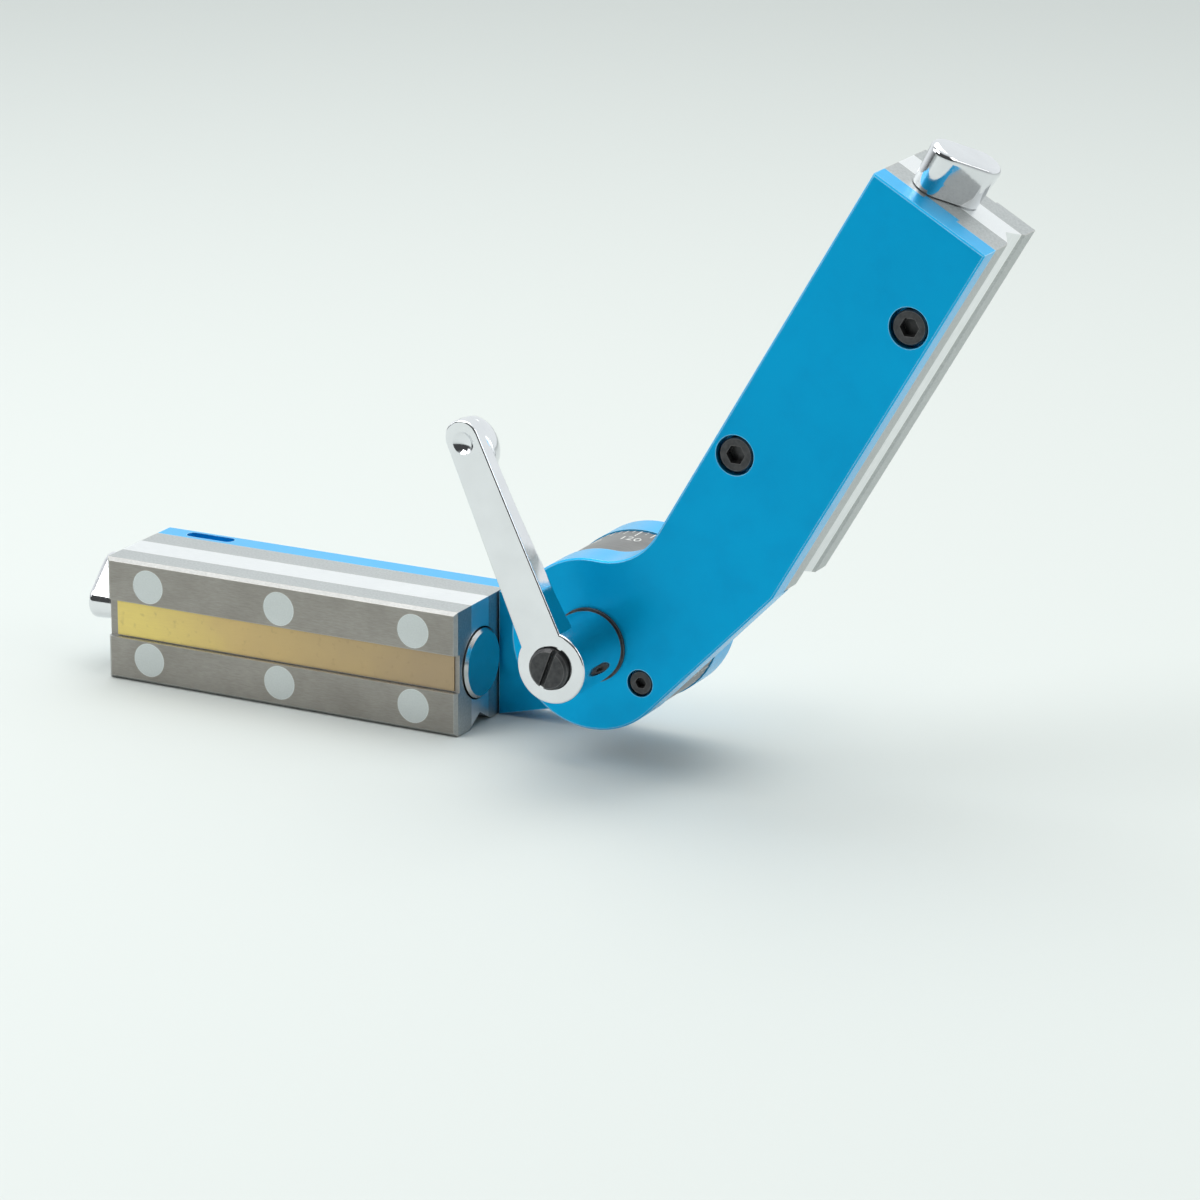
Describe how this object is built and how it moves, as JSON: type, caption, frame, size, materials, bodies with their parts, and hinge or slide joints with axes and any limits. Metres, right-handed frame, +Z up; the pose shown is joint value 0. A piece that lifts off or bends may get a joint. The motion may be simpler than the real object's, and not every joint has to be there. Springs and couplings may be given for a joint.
{
  "type": "adjustable angle welding magnet",
  "caption": "Adjustable-angle welding holder: switchable magnet blocks on blue arm plates, hinged at a scaled pivot with a clamping lever.",
  "frame": {"origin": "on the lower arm's working face, at mid length of the land on the open side of its V groove", "axes": "+X along the lower arm toward the pivot, +Z up from the lower working face, +Y from the lever side through the tool to the lower plate's outer face"},
  "size_m": [0.2975, 0.0707, 0.191],
  "materials": {
    "blue_anodised": "blue anodised, satin",
    "pole_steel": "ground, lightly brushed",
    "spacer_aluminium": "satin",
    "rivet_steel": "faced flush",
    "black_oxide": "black oxide",
    "label_brass": "lacquered gold",
    "chrome_zinc": "polished chrome on die-cast zinc",
    "magnet_nickel": "nickel-plated magnet",
    "disc_steel": "polished",
    "drum_aluminium": "turned, white-filled engraving",
    "plain_steel": "turned",
    "bronze_bush": "sintered bronze",
    "spring_steel": "drawn wire"
  },
  "bodies": {
    "lower_arm": {"lower_plate": "blue_anodised", "lower_pole_front": "pole_steel", "lower_pole_back": "pole_steel", "lower_spacer_top": "spacer_aluminium", "lower_spacer_grooved": "spacer_aluminium", "lower_rivets": "rivet_steel", "lower_m6_screws": "black_oxide", "lower_label": "label_brass", "pivot_anchor_nut": "plain_steel"},
    "lower_switch": {"lower_knob": "chrome_zinc", "lower_rotor_magnet": "magnet_nickel", "lower_end_disc": "disc_steel"},
    "upper_arm": {"upper_plate": "blue_anodised", "upper_pole_front": "pole_steel", "upper_pole_back": "pole_steel", "upper_spacer_top": "spacer_aluminium", "upper_spacer_grooved": "spacer_aluminium", "upper_rivets": "rivet_steel", "upper_m6_screws": "black_oxide", "upper_label": "label_brass", "scale_drum": "drum_aluminium", "scale_drum_screws": "black_oxide", "pivot_bushing": "bronze_bush", "lever_washer": "black_oxide"},
    "upper_switch": {"upper_knob": "chrome_zinc", "upper_rotor_magnet": "magnet_nickel", "upper_end_disc": "disc_steel"},
    "clamp_spindle": {"clamp_stud": "plain_steel", "lever_insert": "plain_steel", "lever_screw": "black_oxide", "lever_spring": "spring_steel"},
    "clamp_lever": {"lever_handle": "chrome_zinc"}
  },
  "joints": [
    {"name": "arm_pivot", "type": "hinge", "parent": "lower_arm", "child": "upper_arm", "pos_m": [0.1075, 0.0105, 0.038], "axis": [0, 1, 0], "range_deg": [-98, 155]},
    {"name": "lower_switch_turn", "type": "hinge", "parent": "lower_arm", "child": "lower_switch", "pos_m": [-0.06, 0.0105, 0.019], "axis": [1, 0, 0], "range_deg": [0, 180]},
    {"name": "upper_switch_turn", "type": "hinge", "parent": "upper_arm", "child": "upper_switch", "pos_m": [0.2077, 0.0105, 0.17356], "axis": [-0.5, 0, -0.866], "range_deg": [0, 180]},
    {"name": "clamp_turn", "type": "hinge", "parent": "lower_arm", "child": "clamp_spindle", "pos_m": [0.1075, -0.0115, 0.038], "axis": [0, 1, 0], "range_deg": [-180, 0]},
    {"name": "lever_lift", "type": "slide", "parent": "clamp_spindle", "child": "clamp_lever", "axis": [0, -1, 0], "range_m": [0, 0.0035], "stiffness_N_per_m": 1500, "springref_m": -0.003}
  ]
}
